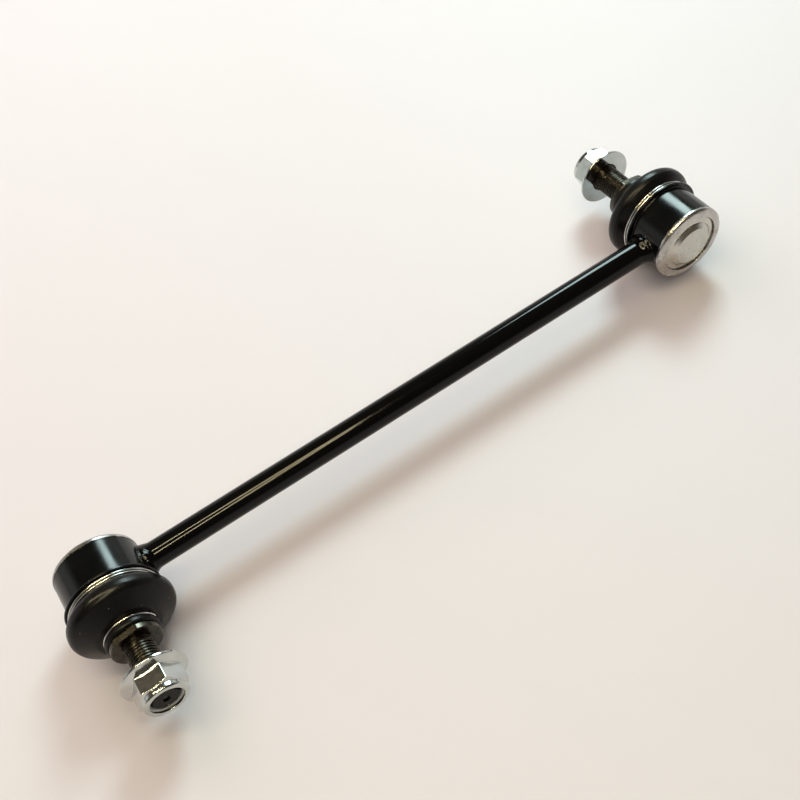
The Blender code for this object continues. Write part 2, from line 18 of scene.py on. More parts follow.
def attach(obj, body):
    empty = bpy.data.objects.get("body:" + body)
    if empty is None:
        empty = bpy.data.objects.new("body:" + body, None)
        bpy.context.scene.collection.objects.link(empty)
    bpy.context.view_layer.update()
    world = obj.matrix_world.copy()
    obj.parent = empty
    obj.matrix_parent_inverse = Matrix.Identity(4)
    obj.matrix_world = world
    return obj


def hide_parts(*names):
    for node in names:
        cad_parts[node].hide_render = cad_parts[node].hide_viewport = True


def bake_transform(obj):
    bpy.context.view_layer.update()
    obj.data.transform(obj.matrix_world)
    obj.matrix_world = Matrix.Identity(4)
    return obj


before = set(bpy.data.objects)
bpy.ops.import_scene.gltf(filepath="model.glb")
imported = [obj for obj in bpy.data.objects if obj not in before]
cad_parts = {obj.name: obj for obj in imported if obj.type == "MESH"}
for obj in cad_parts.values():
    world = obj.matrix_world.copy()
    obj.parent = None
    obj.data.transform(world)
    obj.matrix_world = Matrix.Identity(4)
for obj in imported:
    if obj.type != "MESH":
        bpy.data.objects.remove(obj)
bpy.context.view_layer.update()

# %% [markdown]
# ## Where the two ends sit
#
# Both ends are the same assembly, so each piece is worked out once, in millimetres, in the frame of
# its own end: the ball's centre is the origin, z runs along the stud and the rod leaves along -x.
# A piece could be modelled once and turned as an object, but a finished piece keeps its place in its
# mesh here, so the turn is done on the array of points instead.

# %% Place an end's points in the link's frame
CENTRE_DISTANCE = 280.0
BALL_OFFSET = 2.2
SIDES = {"a": -1, "b": 1}
MILLIMETRE = 0.001


def in_link(points, end):
    """Points of an end, in millimetres, as points of the link, in metres.

    With side -1 or 1: X = side (half the centre distance + x), Y = side (offset + z), Z = -y.
    """
    side = SIDES[end]
    x, y, z = np.moveaxis(np.asarray(points, float), -1, 0)
    moved = (side * (CENTRE_DISTANCE / 2 + x), side * (BALL_OFFSET + z), -y)
    return np.stack(moved, -1) * MILLIMETRE


print("ball centres:", in_link([(0, 0, 0)], "a"), in_link([(0, 0, 0)], "b"))

# %% [markdown]
# ## From arrays to a mesh
#
# A surface here is a grid of points: rows run along a profile and columns run round the piece. The
# faces between them follow from the grid alone, so they too are worked out as whole arrays. Where a
# piece ends on its own axis, the last row shrinks to one point, a pole, and a fan of triangles
# closes it. Faces have to point outwards, so the volume that they enclose is summed: if it comes
# out negative, all of them are turned round.

# %% Grid faces and new meshes
SHARP_EDGE = radians(32)


def grid_faces(rows, columns, closed):
    """Quads of a grid whose columns close into a ring; its rows close too when closed is true.

    Point number = row * columns + column.
    """
    row, column = np.meshgrid(np.arange(rows if closed else rows - 1), np.arange(columns),
                              indexing="ij")
    below = (row + 1) % rows
    beside = (column + 1) % columns
    quads = np.stack([row * columns + column, row * columns + beside,
                      below * columns + beside, below * columns + column], -1)
    return quads.reshape(-1, 4)


def pole_faces(ring, pole, columns):
    """Triangles from a ring of points, which starts at number ring, to one pole point."""
    column = np.arange(columns)
    return np.stack([ring + column, ring + (column + 1) % columns, np.full(columns, pole)], -1)


def grid_surface(grid, closed):
    """Points, quads and triangles of a grid of points whose columns close into a ring.

    A closed grid's rows close too. An open one has a pole at each end: its outer rows are one point
    each, put last, with a fan of triangles to the row beside it.
    """
    rows, columns = grid.shape[:2]
    if closed:
        return grid.reshape(-1, 3), grid_faces(rows, columns, True), np.zeros((0, 3), int)
    rows -= 2
    points = np.vstack([grid[1:-1].reshape(-1, 3), grid[[0, -1], 0]])
    fans = [pole_faces(0, rows * columns, columns)[:, ::-1],
            pole_faces((rows - 1) * columns, rows * columns + 1, columns)]
    return points, grid_faces(rows, columns, False), np.vstack(fans)


def enclosed_volume(points, quads, triangles):
    """Signed volume: the sum over all triangles of a . (b x c) / 6."""
    halves = np.concatenate([quads[:, [0, 1, 2]], quads[:, [0, 2, 3]], triangles])
    a, b, c = (points[halves[:, corner]] for corner in range(3))
    return float(np.einsum("ij,ij->i", a, np.cross(b, c)).sum() / 6)


def into_scene(name, data):
    """New object of the scene that shows a mesh, a lamp or a camera."""
    item = bpy.data.objects.new(name, data)
    bpy.context.scene.collection.objects.link(item)
    return item


def new_piece(name, grid, closed, material):
    """Smooth mesh object at the origin from a grid in metres: faces outwards, corners sharp."""
    points, quads, triangles = grid_surface(grid, closed)
    if enclosed_volume(points, quads, triangles) < 0:
        quads, triangles = quads[:, ::-1], triangles[:, ::-1]
    mesh = bpy.data.meshes.new(name)
    mesh.from_pydata(points.tolist(), [], quads.tolist() + triangles.tolist())
    mesh.shade_smooth()
    mesh.set_sharp_from_angle(angle=SHARP_EDGE)
    mesh.materials.append(material)
    print(f"{name}: {len(points)} points, {2 * len(quads) + len(triangles)} triangles")
    return into_scene(name, mesh)


# %% [markdown]
# ## Rounded profiles
#
# Real turned and moulded pieces have no perfectly sharp corners: a small radius catches the light.
# A Bevel modifier could add it, but on a turned piece it is surer to round the profile before it is
# turned. A corner with half angle h between its sides takes an arc of radius q that touches both
# sides at the distance q / tan(h). Two more points just past the arc hold the sides flat under
# smooth shading.

# %% Round a profile's corners
ARC_STEPS = 6
FINE_ARC_STEPS = 10
LARGEST_SETBACK = 0.46
HOLD = 0.05
HOLD_SHARE = 0.04


def rounded(corners, arc_steps=ARC_STEPS):
    """Profile through (r, z) or (r, z, radius) corners, as an array of rows by columns by 2.

    r and z may be numbers, or arrays with one value for each column. The arc's centre lies at
    q / sin(h) along the bisector, and its points are the centre plus q times unit vectors that are
    swept evenly from one touching point to the other. An arc takes less than half of each side.
    """
    columns = max(np.size(value) for corner in corners for value in corner[:2])
    places = [np.stack([np.broadcast_to(np.asarray(value, float), columns)
                        for value in corner[:2]], -1) for corner in corners]
    rows = []
    for index, corner in enumerate(corners):
        here = places[index]
        if len(corner) == 2:
            rows.append(here)
            continue
        back = places[index - 1] - here
        ahead = places[(index + 1) % len(corners)] - here
        back_length = np.linalg.norm(back, axis=-1, keepdims=True)
        ahead_length = np.linalg.norm(ahead, axis=-1, keepdims=True)
        back, ahead = back / back_length, ahead / ahead_length
        half = np.arccos(np.clip((back * ahead).sum(-1, keepdims=True), -1, 1)) / 2
        shorter = np.minimum(back_length, ahead_length)
        setback = np.minimum(corner[2] / np.tan(half), LARGEST_SETBACK * shorter)
        radius = setback * np.tan(half)
        bisector = back + ahead
        bisector /= np.linalg.norm(bisector, axis=-1, keepdims=True)
        centre = here + bisector * radius / np.sin(half)
        first = here + back * setback - centre
        last = here + ahead * setback - centre
        start = np.arctan2(first[:, 1], first[:, 0])
        sweep = (np.arctan2(last[:, 1], last[:, 0]) - start + pi) % (2 * pi) - pi
        hold = np.minimum(HOLD, HOLD_SHARE * shorter)
        rows.append(here + back * (setback + hold))
        for share in np.linspace(0, 1, arc_steps + 1):
            turn = start + sweep * share
            rows.append(centre + radius * np.stack([np.cos(turn), np.sin(turn)], -1))
        rows.append(here + ahead * (setback + hold))
    return np.stack(rows)


# %% [markdown]
# ## Turned pieces
#
# Housing, plate, seat, ball, boot, nut and locking ring are all round. A Screw modifier could turn
# their profiles. Points that are worked out directly give two things more: a profile that changes
# round the piece, as a hexagon's does, and an attribute with each point's radius and height, by
# which a finish draws round marks.

# %% Turn a profile about the stud's axis
ROUND = 192
SMALL_ROUND = 96


def around(count):
    """Evenly spaced directions round the axis, in radians."""
    return 2 * pi * np.arange(count) / count


def round_points(radius, angle, height):
    """Grid of points (radius cos angle, radius sin angle, height) from arrays or numbers."""
    x, y, z = np.broadcast_arrays(radius * np.cos(angle), radius * np.sin(angle), height)
    return np.stack([x, y, z], -1)


def mark_rounds(piece, points):
    """Attribute with the radius and height of each point, in metres, for round tool marks."""
    radius = np.hypot(points[:, 0], points[:, 1])
    rounds = np.stack([radius, points[:, 2], 0 * radius], -1) * MILLIMETRE
    attribute = piece.data.attributes.new("turning", "FLOAT_VECTOR", "POINT")
    attribute.data.foreach_set("vector", rounds.ravel())


def turned_piece(name, end, profile, angles, material, closed=True):
    """Piece of an end, turned from a profile of rows by columns by 2 about the stud's axis.

    A closed profile gives a ring. An open one starts and ends on the axis, with a pole at each end.
    """
    grid = round_points(profile[..., 0], angles, profile[..., 1])
    piece = new_piece(name + "_" + end, in_link(grid, end), closed, material)
    mark_rounds(piece, grid_surface(grid, closed)[0])
    return piece


# %% [markdown]
# ## Finishes
#
# Every finish is a Principled shader with a few noise textures. Object coordinates are in metres and
# the pieces sit unturned, so a noise scale of 1000 gives grains of about a millimetre. Painted image
# maps could do this too, but noise needs no unwrapping and holds at any distance.

# %% Small helpers for node trees
EVEN_SPREAD = (0.3, 0.7)
PATCHY_SPREAD = (0.35, 0.7)
SPECK_EDGE = (0.10, 0.16)


def new_finish(name, colour, roughness, metallic=0.0, specular=0.5):
    """Material with a Principled shader; returns it with its node tree."""
    material = bpy.data.materials.new(name)
    material.use_nodes = True
    tree = material.node_tree
    inputs = tree.nodes["Principled BSDF"].inputs
    inputs["Base Color"].default_value = (*colour, 1)
    inputs["Roughness"].default_value = roughness
    inputs["Metallic"].default_value = metallic
    inputs["Specular IOR Level"].default_value = specular
    return material, tree


def drive(tree, socket, value):
    """Let a value drive a socket of the tree's Principled shader."""
    tree.links.new(value, tree.nodes["Principled BSDF"].inputs[socket])


def add_node(tree, kind, **settings):
    """Node of a kind, with its properties set by name."""
    node = tree.nodes.new(kind)
    for key, value in settings.items():
        setattr(node, key, value)
    return node


def parts(tree, place):
    """Sockets with the X, Y and Z of a place."""
    node = add_node(tree, "ShaderNodeSeparateXYZ")
    tree.links.new(place, node.inputs["Vector"])
    return node.outputs


def object_place(tree):
    """Socket with the point's place on the link, in metres."""
    return add_node(tree, "ShaderNodeTexCoord").outputs["Object"]


def noise(tree, place, scale, detail, rough=0.5):
    """Noise value round 0.5 at a place, with grains of about 1 / scale.

    Nearly all its values lie in the even spread; the patchy one cuts more off at the low end.
    """
    node = add_node(tree, "ShaderNodeTexNoise")
    node.inputs["Scale"].default_value = scale
    node.inputs["Detail"].default_value = detail
    node.inputs["Roughness"].default_value = rough
    tree.links.new(place, node.inputs["Vector"])
    return node.outputs["Fac"]


def ranged(tree, value, low, high, to_low, to_high, smooth=False):
    """Value mapped from low..high to to_low..to_high and held inside them."""
    node = add_node(tree, "ShaderNodeMapRange")
    if smooth:
        node.interpolation_type = "SMOOTHSTEP"
    limits = {"From Min": low, "From Max": high, "To Min": to_low, "To Max": to_high}
    for socket, number in limits.items():
        node.inputs[socket].default_value = number
    tree.links.new(value, node.inputs["Value"])
    return node.outputs["Result"]


def fill(tree, socket, value):
    """Link a socket to another one, or set it to a number or to a colour of three parts."""
    if isinstance(value, bpy.types.NodeSocket):
        tree.links.new(value, socket)
    else:
        socket.default_value = (*value, 1) if isinstance(value, tuple) else value


def maths(tree, operation, first, second):
    """Maths node on two values; either may be a socket."""
    node = add_node(tree, "ShaderNodeMath", operation=operation)
    fill(tree, node.inputs[0], first)
    fill(tree, node.inputs[1], second)
    return node.outputs["Value"]


def two_colours(tree, share, first, second):
    """Colour between two, by a share from 0 to 1; either may be a socket."""
    node = add_node(tree, "ShaderNodeMix", data_type="RGBA")
    tree.links.new(share, node.inputs["Factor"])
    fill(tree, node.inputs[6], first)
    fill(tree, node.inputs[7], second)
    return node.outputs[2]


def bumped(tree, height, distance):
    """Surface relief from a height value; distance is the depth of height 1, in metres."""
    node = add_node(tree, "ShaderNodeBump")
    node.inputs["Distance"].default_value = distance
    tree.links.new(height, node.inputs["Height"])
    drive(tree, "Normal", node.outputs["Normal"])


def specks(tree, place, scale, share):
    """Mask of scattered specks: 1 close to the centre of a random few of the noise cells."""
    cells = add_node(tree, "ShaderNodeTexVoronoi")
    cells.inputs["Scale"].default_value = scale
    tree.links.new(place, cells.inputs["Vector"])
    near = ranged(tree, cells.outputs["Distance"], *SPECK_EDGE, 1, 0)
    split = add_node(tree, "ShaderNodeSeparateColor")
    tree.links.new(cells.outputs["Color"], split.inputs["Color"])
    chosen = ranged(tree, split.outputs["Red"], 1 - share, 1 - share + 0.001, 0, 1)
    return maths(tree, "MULTIPLY", near, chosen)


# %% [markdown]
# ### Black paint
#
# The rod and its weld wear a thick gloss black, the housing a slightly flatter one. Sprayed paint
# is never a mirror: it has a faint orange peel, a gloss that drifts and a little dust. The first two
# are noise, as relief and in the roughness, and the dust is a mask of pale specks.

# %% Paint finishes
DUST = (0.34, 0.32, 0.29)
SMOOTHER = 0.8
ROUGHER = 1.35


def black_paint(name, colour, roughness, peel, dust):
    """Sprayed black: orange peel relief, uneven gloss and a share of dust specks."""
    material, tree = new_finish(name, colour, roughness, specular=0.2)
    place = object_place(tree)
    smear = noise(tree, place, 160, 4)
    gloss = ranged(tree, smear, *PATCHY_SPREAD, roughness * SMOOTHER, roughness * ROUGHER)
    drive(tree, "Roughness", gloss)
    drive(tree, "Base Color", two_colours(tree, specks(tree, place, 900, dust), colour, DUST))
    bumped(tree, noise(tree, place, 500, 1), peel)
    return material


rod_paint = black_paint("gloss_black_paint", (0.0030, 0.0029, 0.0026), 0.09,
                        peel=0.000003, dust=0.004)
weld_paint = black_paint("gloss_paint_on_weld", (0.0022, 0.0021, 0.0019), 0.10,
                         peel=0.000002, dust=0.006)
print("paints:", rod_paint.name, weld_paint.name)

# %% [markdown]
# ### Housing: black paint that ends at the bare rolled rim
#
# The housing is painted before its rim is rolled over the plate, so the rim comes out bare and
# bright. One material can show both: a mask on the object's own Y, mirrored for the other end,
# mixes paint and steel. A little noise on the border keeps the paint's edge from looking cut.

# %% Housing finish
HOUSING_BLACK = (0.002, 0.0026, 0.0027)
RIM_STEEL = (0.56, 0.535, 0.515)
RIM_STAIN = (0.40, 0.385, 0.37)
RIM_STAIN_SPREAD = (0.35, 0.75)
RIM_DULLER = 0.09
PAINT_EDGE = 0.0090
EDGE_BLUR = 0.00008
EDGE_WANDER = 0.00025
RING_MARKS = 0.4
GRAIN_MARKS = 0.6


def housing_finish():
    """Paint below the rim, bare steel with round rolling marks on it."""
    material, tree = new_finish("housing_paint_and_bare_rim", HOUSING_BLACK, 0.14, specular=0.3)
    place = object_place(tree)
    along, across, _ = parts(tree, place)
    mirrored = maths(tree, "MULTIPLY", maths(tree, "SIGN", along, 0), -1)
    depth = maths(tree, "MULTIPLY", across, mirrored)
    wander = ranged(tree, noise(tree, place, 420, 3), *EVEN_SPREAD, -EDGE_WANDER, EDGE_WANDER)
    bare = ranged(tree, maths(tree, "ADD", depth, wander), PAINT_EDGE - EDGE_BLUR,
                  PAINT_EDGE + EDGE_BLUR, 0, 1)
    painted = two_colours(tree, specks(tree, place, 850, 0.003), HOUSING_BLACK, DUST)
    stain = ranged(tree, noise(tree, place, 300, 4), *RIM_STAIN_SPREAD, 0, 1)
    steel = two_colours(tree, stain, RIM_STEEL, RIM_STAIN)
    drive(tree, "Base Color", two_colours(tree, bare, painted, steel))
    drive(tree, "Metallic", bare)
    gloss = ranged(tree, noise(tree, place, 140, 4), *PATCHY_SPREAD, 0.14, 0.21)
    duller = maths(tree, "MULTIPLY", bare, RIM_DULLER)
    drive(tree, "Roughness", maths(tree, "ADD", gloss, duller))
    ring_share = maths(tree, "MULTIPLY", bare, RING_MARKS)
    turning = add_node(tree, "ShaderNodeAttribute", attribute_name="turning").outputs["Vector"]
    rings = maths(tree, "MULTIPLY", noise(tree, turning, 5200, 2), ring_share)
    grain = maths(tree, "MULTIPLY", noise(tree, place, 900, 2), GRAIN_MARKS)
    bumped(tree, maths(tree, "ADD", rings, grain), 0.000006)
    return material


housing_paint = housing_finish()
print("housing finish:", housing_paint.name)

# %% [markdown]
# ### Bare steel and zinc
#
# The end plate is pressed from bare sheet, the rings are bright drawn wire, the nut is zinc plated
# and the ball is polished. All are metals that differ in colour and in how the surface is broken up:
# broad soft stains on the sheet, fine mottling on the zinc, hardly anything on the ball.

# %% Metal finishes
def mottled_metal(name, colour, stained, rough_low, rough_high, grain, depth):
    """Metal whose colour and roughness drift with noise, over a fine relief."""
    material, tree = new_finish(name, colour, rough_low, metallic=1.0)
    place = object_place(tree)
    drift = ranged(tree, noise(tree, place, 170, 5, 0.6), *PATCHY_SPREAD, 0, 1)
    drive(tree, "Base Color", two_colours(tree, drift, colour, stained))
    wear = noise(tree, place, 420, 4, 0.6)
    drive(tree, "Roughness", ranged(tree, wear, *EVEN_SPREAD, rough_low, rough_high))
    bumped(tree, noise(tree, place, grain, 3), depth)
    return material


plate_steel = mottled_metal("bare_plate_steel", (0.61, 0.595, 0.55), (0.53, 0.51, 0.465),
                            0.20, 0.30, grain=900, depth=0.000005)
ring_wire = mottled_metal("bright_spring_wire", (0.66, 0.66, 0.64), (0.54, 0.53, 0.51),
                          0.20, 0.27, grain=2500, depth=0.0000005)
nut_zinc = mottled_metal("bright_zinc_plate", (0.62, 0.64, 0.625), (0.50, 0.52, 0.50),
                         0.09, 0.16, grain=600, depth=0.000007)
ball_steel = mottled_metal("polished_ball_steel", (0.66, 0.66, 0.66), (0.60, 0.60, 0.60),
                           0.06, 0.12, grain=1500, depth=0.000004)
print("metals:", plate_steel.name, ring_wire.name, nut_zinc.name, ball_steel.name)

# %% [markdown]
# ### Oiled phosphate
#
# The stud is phosphated and oiled: a nearly black metal with a soft oily shine. Its tip lies
# deep in the nut, where shade falls, so a mask on the distance from the link's middle plane paints
# that shade on it as a near-black colour.

# %% Stud finish
PHOSPHATE = (0.085, 0.076, 0.062)
PHOSPHATE_DARKER = (0.056, 0.050, 0.041)
# Painted shade: a near-black colour for the stud's tip, which lies deep in the nut.
TIP_PAINTED_SHADE = (0.005, 0.005, 0.005)
TIP_START = 0.0545
TIP_EDGE = 0.0003


def oiled_phosphate():
    """Dark metal that drifts between two tones, with painted shade: near-black past the tip's plane.
    """
    material, tree = new_finish("oiled_black_phosphate", PHOSPHATE, 0.27, metallic=1.0)
    place = object_place(tree)
    drift = ranged(tree, noise(tree, place, 260, 3), *PATCHY_SPREAD, 0, 1)
    away = maths(tree, "ABSOLUTE", parts(tree, place)["Y"], 0)
    # Painted shade: a mask that is 1 past the tip's plane, where the nut's bore shades the stud.
    tip = ranged(tree, away, TIP_START, TIP_START + TIP_EDGE, 0, 1)
    skin = two_colours(tree, drift, PHOSPHATE, PHOSPHATE_DARKER)
    drive(tree, "Base Color", two_colours(tree, tip, skin, TIP_PAINTED_SHADE))
    gloss = ranged(tree, noise(tree, place, 500, 3), *EVEN_SPREAD, 0.24, 0.30)
    drive(tree, "Roughness", gloss)
    return material


stud_phosphate = oiled_phosphate()
print("stud finish:", stud_phosphate.name)

# %% [markdown]
# ### Rubber and plastics
#
# The dust boot is soft black rubber: dark and nearly matt, with a weak wide gloss and a little dust.
# The ball's seat is white acetal and the nut's locking ring pale nylon.

# %% Rubber and plastic finishes
RUBBER = (0.0030, 0.0028, 0.0026)
RUBBER_WORN = (0.0065, 0.006, 0.005)


def boot_finish():
    """Black rubber: fine skin, cloudy gloss, sparse pale dust."""
    material, tree = new_finish("black_rubber", RUBBER, 0.32, specular=0.2)
    place = object_place(tree)
    cloud = ranged(tree, noise(tree, place, 120, 5, 0.6), *PATCHY_SPREAD, 0, 1)
    worn = two_colours(tree, cloud, RUBBER, RUBBER_WORN)
    drive(tree, "Base Color", two_colours(tree, specks(tree, place, 900, 0.022), worn, DUST))
    gloss = ranged(tree, noise(tree, place, 260, 4), *EVEN_SPREAD, 0.26, 0.38)
    drive(tree, "Roughness", gloss)
    bumped(tree, noise(tree, place, 1400, 2), 0.00001)
    return material


def moulded_plastic(name, colour, roughness):
    """Pale moulded plastic with a faint grain."""
    material, tree = new_finish(name, colour, roughness)
    bumped(tree, noise(tree, object_place(tree), 1500, 2), 0.00002)
    return material


boot_rubber = boot_finish()
seat_plastic = moulded_plastic("white_acetal", (0.80, 0.79, 0.74), 0.42)
insert_nylon = moulded_plastic("pale_nylon", (0.66, 0.68, 0.67), 0.45)
print("rubber and plastics:", boot_rubber.name, seat_plastic.name, insert_nylon.name)

# %% [markdown]
# ## Rod
#
# The rod is a round bar whose ends are coped: milled to a saddle that sits on the round housing. A
# Boolean could cut the saddle. It also has a plain formula, because two cylinders cross at right
# angles: at the height h on the rod, the housing's wall is sqrt(R^2 - h^2) from the housing's axis.

# %% Rod
ROD_RADIUS = 5.5
HOUSING_RADIUS = 17.2


def rod_piece():
    """Bar along X: rows run from one saddle to the other, and each end closes in its middle.

    End radii shrink to the axis over three rows, each laid on the housing's wall.
    """
    angles = around(SMALL_ROUND)
    shares = np.array([0.0, 0.5, 0.97, 1.0])
    radii = np.concatenate([shares, shares[::-1]]) * ROD_RADIUS
    side = np.repeat([-1.0, 1.0], len(shares))
    across = radii[:, None] * np.cos(angles)
    height = radii[:, None] * np.sin(angles)
    reach = CENTRE_DISTANCE / 2 - np.sqrt(HOUSING_RADIUS ** 2 - height ** 2)
    grid = np.stack([side[:, None] * reach, across, height], -1)
    return new_piece("rod_bar", grid * MILLIMETRE, False, rod_paint)


rod = rod_piece()
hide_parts("link_rod")
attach(rod, "root")

# %% [markdown]
# ## Weld beads
#
# The weld is laid round the foot of the rod: a narrow first pass against the housing and a wider one
# that runs out on the rod, with a crease between them. Its puddles freeze as fine overlapping
# ripples. Sculpting could give the same, but here a height over the rod says it all: for each
# direction round the rod and each distance from the housing, one number. The side that lies away
# from the torch has flowed into a smooth hollow fillet, so there the passes fade out.

# %% Weld beads
BEAD_LENGTH = 4.7
BEAD_HEIGHT = 1.45
BEAD_RIPPLES = 33
BEAD_SINK = 0.9
BEAD_ROUND = 288
BEAD_ROWS = 56
NARROW_PASS = (0.34, 0.55, 0.42)
WIDE_PASS = (0.42, 2.35, 0.95)


def weld_pass(distance, height, middle, spread):
    """Rounded pass of the weld: height * exp(-((distance - middle) / spread)^2)."""
    return height * np.exp(-((distance - middle) / spread) ** 2)


def bead_height(turn, distance):
    """Height of the weld over the rod at a direction round it and a distance from the housing.

    A falling slope, two rounded passes, slow waves round the rod, and ripples whose crests bend
    back with the distance.
    """
    run = np.clip(distance / BEAD_LENGTH, 0, 1)
    smooth = 0.5 - 0.5 * np.sin(turn - 0.5)
    slope = BEAD_HEIGHT * ((1 - smooth) * (1 - run) ** 1.1 + smooth * 1.25 * (1 - run) ** 2.4)
    passes = weld_pass(distance, *NARROW_PASS) + weld_pass(distance, *WIDE_PASS)
    waves = 0.16 * np.sin(3 * turn + 0.6) + 0.10 * np.sin(5 * turn + 2.1 + distance)
    phase = BEAD_RIPPLES * turn + 1.4 * (distance - 1.6) ** 2
    ripples = 0.075 * (np.abs(np.sin(phase / 2)) - 0.64)
    fade = 1 - run ** 4
    return slope + fade * ((passes + ripples) * (1 - 0.8 * smooth) + waves * 0.6)


def bead_piece(end):
    """Ring round the rod's foot: rows run round the rod and columns along its closed section.

    The outer line follows the height above; the rest lies inside the rod and the housing. Each
    point is measured from the housing's round wall at its own height.
    """
    turn = around(BEAD_ROUND)[:, None]
    distance = np.concatenate([[-BEAD_SINK], np.linspace(0, BEAD_LENGTH, BEAD_ROWS)])
    outer = ROD_RADIUS + bead_height(turn, distance[None, :])
    hidden = np.array([(BEAD_LENGTH + 0.1, -0.3), (0.5, -0.9), (-BEAD_SINK, -0.9)])
    inner = np.broadcast_to(ROD_RADIUS + hidden[:, 1], (len(turn), len(hidden)))
    radius = np.hstack([outer, inner])
    away = np.concatenate([distance, hidden[:, 0]])[None, :]
    across = radius * np.cos(turn)
    along = radius * np.sin(turn) - BALL_OFFSET
    grid = np.stack([-np.sqrt(HOUSING_RADIUS ** 2 - across ** 2) - away, across, along], -1)
    return new_piece("weld_ring_" + end, in_link(grid, end), True, weld_paint)


for end in SIDES:
    bead = bead_piece(end)
    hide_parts("weld_bead_" + end)
    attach(bead, "root")

# %% [markdown]
# ## Housings
#
# The housing is turned from bar: a straight cup with a thin flange and a groove for the boot. After
# the plate is in, its open edge is rolled inwards. The whole section is one closed profile, inside
# and outside, so the piece has its true wall. The rolled edge is a quarter of an oval:
# r = centre + a cos(t), z = centre + b sin(t).

# %% Housings
RIM_TOP = -13.4
RIM_LIP = 13.5
PLATE_LEVEL = -11.9
FLANGE_RADIUS = 19.2
FLANGE_BOTTOM = 5.3
FLANGE_TOP = 6.3
HOUSING_TOP = 9.0
GROOVE_RADIUS = 16.0
roll = np.radians(np.linspace(270, 360, 21))
rolled_edge = np.stack([15.3 + 2.0 * np.cos(roll), -11.8 + 1.6 * np.sin(roll)], -1)[:, None]
housing_corners = [
    (17.3, -10.8, 0.1), (HOUSING_RADIUS, -10.7, 0.2), (HOUSING_RADIUS, FLANGE_BOTTOM, 0.6),
    (FLANGE_RADIUS, FLANGE_BOTTOM, 0.35), (FLANGE_RADIUS, FLANGE_TOP, 0.35),
    (GROOVE_RADIUS, FLANGE_TOP, 0.1), (GROOVE_RADIUS, HOUSING_TOP, 0.6),
    (10.19, HOUSING_TOP, 0.3), (8.23, 4.87, 0.2), (8.04, 4.47, 0.1), (11.8, 2.56), (11.8, -10.1),
    (15.9, -10.1), (15.9, -11.3), (15.25, PLATE_LEVEL), (RIM_LIP, PLATE_LEVEL, 0.1),
    (RIM_LIP, RIM_TOP, 0.2), (15.2, RIM_TOP),
]
housing_profile = np.concatenate([rolled_edge, rounded(housing_corners, FINE_ARC_STEPS)])
for end in SIDES:
    cup = turned_piece("socket_cup", end, housing_profile, around(ROUND), housing_paint)
    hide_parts("housing_" + end)
    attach(cup, "root")

# %% [markdown]
# ## End plates
#
# The plate is pressed from sheet: an edge that is held under the rolled lip, a raised ledge, a slope
# and a flat round middle that is hollow behind, so that the ball's seat has room for grease. One
# profile says all of this in a dozen corners. It starts and ends on the axis, in two poles.

# %% End plates
BULGE_TOP = -14.9
BULGE_FLAT = 8.6
SHEET = 1.5
PLATE_RADIUS = 15.6
PLATE_BACK = -10.4
face_radii = np.linspace(0, BULGE_FLAT, 6)[:-1]
plate_face = np.stack([face_radii, np.full(len(face_radii), BULGE_TOP)], -1)[:, None]
plate_corners = [
    (BULGE_FLAT, BULGE_TOP, 0.9), (10.4, -13.38, 0.5), (10.8, -12.95, 0.1), (13.2, -12.6, 0.1),
    (13.2, -11.6, 0.1), (14.95, -11.6, 0.1), (PLATE_RADIUS, -11.0, 0.1),
    (PLATE_RADIUS, PLATE_BACK, 0.1), (BULGE_FLAT, PLATE_BACK, 0.3),
    (BULGE_FLAT, BULGE_TOP + SHEET, 0.5), (0, BULGE_TOP + SHEET),
]
plate_profile = np.concatenate([plate_face, rounded(plate_corners, FINE_ARC_STEPS)])
for end in SIDES:
    plate = turned_piece("closing_disc", end, plate_profile, around(ROUND), plate_steel,
                         closed=False)
    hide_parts("end_plate_" + end)
    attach(plate, "root")

# %% [markdown]
# ## Ball and seat
#
# Neither shows from outside, but they make it a ball joint, so they are as fine as the rest: a
# plastic cup that wraps the ball past its equator, and the polished ball in it.

# %% Ball and seat
SOCKET = 9.3
BALL_RADIUS = 9.0


def ball_arc(radius, from_degrees, to_degrees, steps):
    """Rows (radius cos a, radius sin a) for angles a above the ball's equator."""
    angles = np.radians(np.linspace(from_degrees, to_degrees, steps))
    return np.stack([radius * np.cos(angles), radius * np.sin(angles)], -1)[:, None]


cup_inside = ball_arc(SOCKET, 22, -74.4, 40)
cup_outside = rounded([(2.5, -10.1), (11.5, -10.1, 0.3), (11.5, 2.37, 0.3), (9.32, 3.48)])
cup_profile = np.concatenate([cup_inside, cup_outside])
for end in SIDES:
    seat = turned_piece("plastic_cup", end, cup_profile, around(ROUND), seat_plastic)
    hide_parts("ball_seat_" + end)
    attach(seat, "root")
    ball = turned_piece("joint_ball", end, ball_arc(BALL_RADIUS, -90, 90, 49),
                        around(SMALL_ROUND), ball_steel, closed=False)
    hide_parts("ball_" + end)
    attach(ball, "ball_body_" + end)

# %% [markdown]
# ## Studs
#
# The stud runs from the ball through the boot to the thread. Two details need more than a turned
# profile. The collar has two parallel flats for a spanner: a flat at distance f from the axis cuts
# each ring of radius r at the angles acos(f / r) either side of its normal, so the columns are
# squeezed to put an edge exactly there. The thread is a ridge whose height depends on
# z - pitch * angle / 2 pi, which makes it a helix.

# %% Columns that keep an edge on the collar's flats
FLAT_DISTANCE = 9.0
FLAT_NORMAL = radians(-80)
COLLAR_RADIUS = 10.2
COLLAR_BACK = 25.8
COLLAR_FACE = 28.4
FLAT_COLUMNS = 16
BETWEEN_COLUMNS = 32


def flat_angles(radius):
    """Directions of the columns on a ring of a radius, measured from the flats' normal.

    They are spread evenly over each flat, and evenly over what is left of the ring.
    """
    half = np.arccos(FLAT_DISTANCE / radius)
    on_flat = np.linspace(-half, half, 2 * FLAT_COLUMNS + 1)[:-1]
    between = np.linspace(half, pi - half, BETWEEN_COLUMNS + 1)[:-1]
    quarter = np.concatenate([on_flat, between])
    return np.concatenate([quarter, quarter + pi])


print("columns on a stud:", len(flat_angles(COLLAR_RADIUS)))

